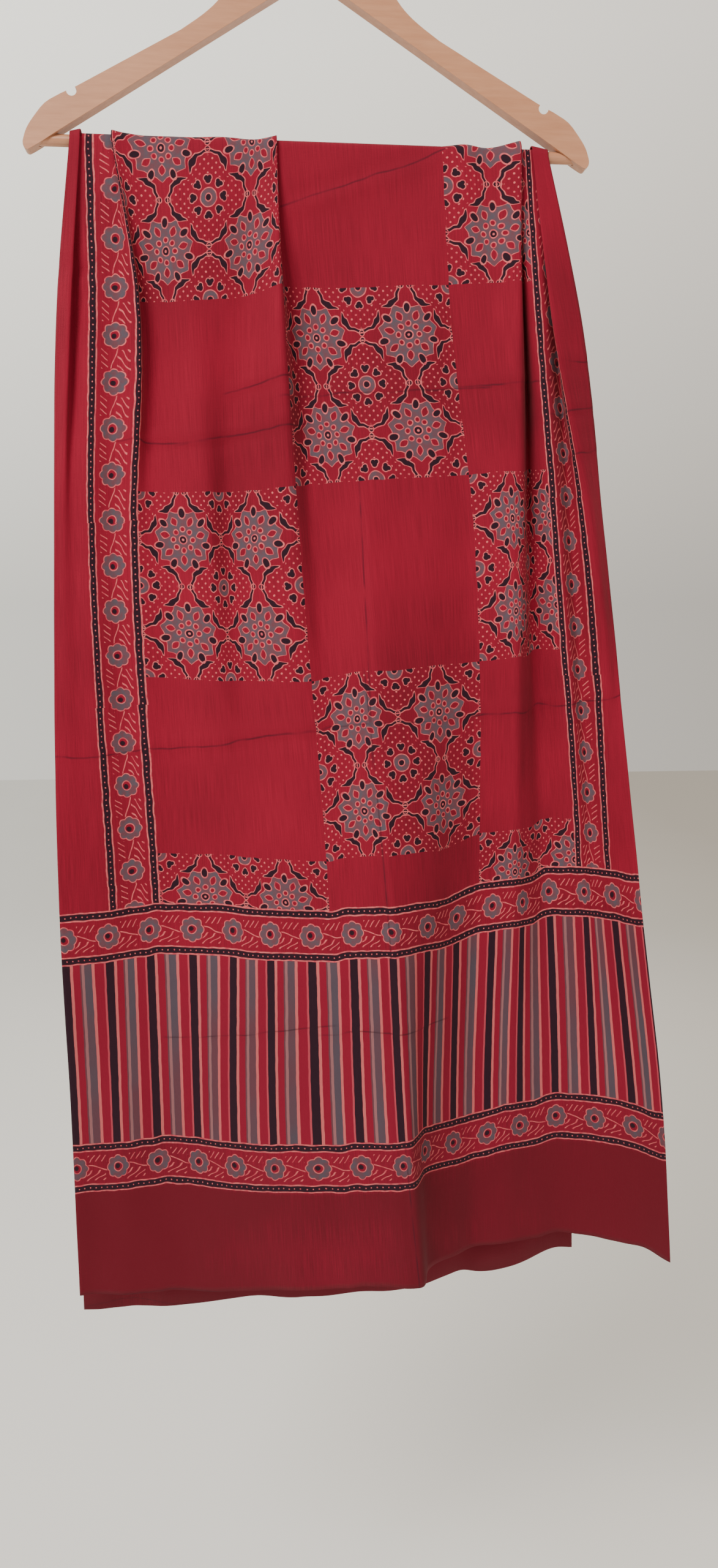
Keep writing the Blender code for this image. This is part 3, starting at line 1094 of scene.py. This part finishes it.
@dataclass(frozen=True)
class Unevenness:
    """The cloth's low waves, and where along it they and its creases begin below the bar, in mm."""

    height: float = 0.8
    waves_from: float = 20.0
    waves_over: float = 120.0
    creases_from: float = 14.0
    creases_over: float = 40.0

    def waves(self, across: Array, along: Array) -> Array:
        """The broad and the fine waves.

        Args:
            across: places across the flat cloth.
            along: places along it.
        Returns:
            Their height at each place.
        """
        broad = np.sin(across * 0.071 + along * 0.013) * np.sin(along * 0.019 - across * 0.024)
        fine = np.sin(across * 0.13 - along * 0.027 + 1.0) * np.sin(along * 0.043 + across * 0.017)
        share = np.clip((np.abs(along) - self.waves_from) / self.waves_over, 0, 1)
        return share * (broad + 0.6 * fine) * self.height

    def creases(self, across: Array, along: Array) -> Array:
        """How far the creases bring each place of the front forward."""
        share = np.clip((along - self.creases_from) / self.creases_over, 0, 1)
        return share * sum(crease.relief(across, along) for crease in CREASES)


@dataclass(frozen=True)
class DrapedCloth:
    """The printed stole on the hanger's bar."""

    drape: Drape = Drape()
    mesh: ClothMesh = ClothMesh()
    unevenness: Unevenness = Unevenness()
    finish: CottonFinish = CottonFinish("printed cotton")

    def rows(self) -> Array:
        """Cuts the sheet along its length, finer over the bar.

        Returns:
            Shares of each side's length, from 1 at the front hem to -1 at the back hem.
        """
        over = self.mesh.arc_length / 2 / self.drape.front_length
        front = np.linspace(1, over, self.mesh.front_rows)
        arc = np.linspace(over, -over, self.mesh.arc_rows)[1:-1]
        back = np.linspace(-over, -1, self.mesh.back_rows)
        return np.concatenate([front, arc, back])

    def columns(self) -> Array:
        """Cuts the sheet across: at every fold line and in even steps between them.

        Returns:
            Places across the flat cloth.
        """
        places = [FOLDS[0].across]
        for fold, following in zip(FOLDS, FOLDS[1:]):
            steps = int(np.ceil((following.across - fold.across) / self.mesh.widest_step))
            places.extend(np.linspace(fold.across, following.across, steps + 1)[1:])
        return np.array(places)

    def crease(self, sheet: Array, across: Array) -> None:
        """Moves the sheet by its waves and creases, and lowers its print by its slack.

        Args:
            sheet: each line's X, Y, height and place along, which it changes.
            across: the lines' places across the flat cloth.
        """
        along = sheet[..., 3]
        wide = np.repeat(across[:, None], sheet.shape[1], 1)
        side = np.where(along > 0, -1.0, 1.0)
        sheet[..., 1] += side * self.unevenness.waves(wide, along) - self.unevenness.creases(wide, along)
        lower = smooth(SLACKS.keys(), np.array(list(SLACKS.values())), across)
        for i in range(len(across)):
            along[i] -= np.interp(along[i], SLACK_ALONG, lower[i])

    def build(self) -> bpy.types.Object:
        """Builds the sheet and prints it.

        Returns:
            Its object.
        """
        across = self.columns()
        sheet = self.drape.grid(across, self.rows())
        taut = sheet[..., 3].copy()
        self.crease(sheet, across)
        columns, rows = sheet.shape[:2]
        points = sheet[..., :3] * MM
        points[..., 2] -= BAR_DROP
        data = bpy.data.meshes.new("printed_stole")
        index = np.arange(columns * rows).reshape(columns, rows)
        faces = np.stack([index[:-1, :-1], index[1:, :-1], index[1:, 1:], index[:-1, 1:]], axis=-1)
        data.from_pydata(points.reshape(-1, 3).tolist(), [], faces.reshape(-1, 4).tolist())
        corners = np.array([loop.vertex_index for loop in data.loops])
        for name, along in ((FLAT_MAP, sheet[..., 3]), (TAUT_MAP, taut)):
            flat = np.stack([np.repeat(across[:, None], rows, 1), along], axis=-1).reshape(-1, 2) * MM
            data.uv_layers.new(name=name).data.foreach_set("uv", flat[corners].ravel())
        data.shade_smooth()
        cloth = bpy.data.objects.new("printed_stole", data)
        bpy.context.scene.collection.objects.link(cloth)
        data.materials.append(self.finish.build())
        shell = cloth.modifiers.new("thickness", "SOLIDIFY")
        shell.thickness = self.mesh.thickness * MM
        shell.offset = 0
        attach(cloth, "root")
        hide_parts("ajrakh_cloth")
        return cloth


@dataclass(frozen=True)
class Hanger:
    """The wooden hanger and its wire hook: the finish of each of its solids, by name."""

    arm_left: WoodFinish = WoodFinish("left arm wood", (45.0, 260.0, 420.0))
    arm_right: WoodFinish = WoodFinish("right arm wood", (40.0, 250.0, 400.0))
    bar: WoodFinish = WoodFinish("bar wood", (18.0, 420.0, 420.0))
    hook: SteelFinish = SteelFinish("hook wire")

    def dress(self, nodes: dict[str, bpy.types.Object]) -> None:
        """Gives each solid its material.

        Args:
            nodes: the solids' objects by name.
        """
        for part in fields(self):
            materials = nodes[part.name].data.materials
            materials.clear()
            materials.append(getattr(self, part.name).build())
            LOG.info("%s dressed", part.name)


@dataclass(frozen=True)
class Lamp:
    """A soft square light."""

    name: str
    place: Place
    aim: Place
    size: float
    power: float
    colour: Colour = (1.0, 0.97, 0.93)

    def build(self) -> bpy.types.Object:
        """Hangs the light and turns it towards its aim.

        Returns:
            Its object.
        """
        data = bpy.data.lights.new(self.name, "AREA")
        data.size = self.size
        data.energy = self.power
        data.color = self.colour
        lamp = bpy.data.objects.new(self.name, data)
        lamp.location = self.place
        away = np.subtract(self.place, self.aim)
        lamp.rotation_euler = (np.arccos(away[2] / np.linalg.norm(away)), 0, np.arctan2(away[0], -away[1]))
        bpy.context.scene.collection.objects.link(lamp)
        return lamp


@dataclass(frozen=True)
class Surroundings:
    """A pale light from all around: each span holds where it starts and ends and the light's amount there."""

    left: Colour = (0.98, 0.95, 0.86)
    right: Colour = (0.54, 0.49, 0.43)
    sideways: tuple[float, ...] = (-0.25, 0.5, 0.0, 1.0)
    behind: tuple[float, ...] = (-0.25, 0.35, 0.24, 1.4)
    above: tuple[float, ...] = (0.0, 0.4, 0.72, 1.35)

    def build(self) -> bpy.types.World:
        """Mixes the light.

        Returns:
            The world.
        """
        graph = Graph(bpy.data.worlds.new("pale room"))
        x, y, z = graph.parts(graph.node("ShaderNodeTexCoord").outputs["Generated"])
        strength = graph.blend(y, *self.behind) * graph.blend(z, *self.above)
        colour = graph.mix(graph.blend(x, *self.sideways), self.left, self.right)
        return graph.finish(graph.node("ShaderNodeBackground", Color=colour, Strength=strength))


@dataclass(frozen=True)
class Studio:
    """A pale floor, soft lights and the camera at the photograph's viewing angle."""

    floor_height: float = -1.75
    floor_size: float = 14.0
    camera_place: Place = (-0.0568, -1.0, -0.3563 - BAR_DROP)
    camera_pitch: float = 8.7
    camera_yaw: float = 5.4
    focal_pixels: float = 1924.0
    picture_height: float = 2560.0
    film_height: float = 36.0
    surroundings: Surroundings = Surroundings()
    lamps: tuple[Lamp, ...] = (
        Lamp("window", (-1.5, -2.1, 1.5), (0, 0, -0.75), 1.3, 130.0),
        Lamp("fill", (1.8, -2.4, -0.2), (0, 0, -0.8), 1.6, 26.0),
        Lamp("back fill", (0.4, 2.2, 0.4), (0, 0, -0.7), 1.8, 20.0),
    )

    def floor(self) -> None:
        """Lays a plain pale floor."""
        bpy.ops.mesh.primitive_plane_add(size=self.floor_size, location=(0, 0, self.floor_height))
        floor = bpy.context.active_object
        floor.name = "floor"
        floor.data.materials.append(FloorFinish("pale floor").build())

    def camera(self) -> None:
        """Sets the camera as the photograph was taken."""
        data = bpy.data.cameras.new("camera")
        data.sensor_fit = "VERTICAL"
        data.sensor_height = self.film_height
        data.lens = self.film_height * self.focal_pixels / self.picture_height
        data.clip_start = 0.01
        camera = bpy.data.objects.new("camera", data)
        camera.location = self.camera_place
        camera.rotation_euler = (radians(90 - self.camera_pitch), 0, radians(-self.camera_yaw))
        bpy.context.scene.collection.objects.link(camera)
        bpy.context.scene.camera = camera

    def build(self) -> None:
        """Sets the whole stage."""
        self.floor()
        bpy.context.scene.world = self.surroundings.build()
        for lamp in self.lamps:
            lamp.build()
        self.camera()


def main() -> None:
    """Builds the visual model and its stage."""
    bpy.ops.object.select_all(action="DESELECT")
    Hanger().dress(frame["nodes"])
    cloth = DrapedCloth().build()
    LOG.info("%s: %d faces", cloth.name, len(cloth.data.polygons))
    Studio().build()
    LOG.info("studio set")


if __name__ == "__main__":
    main()
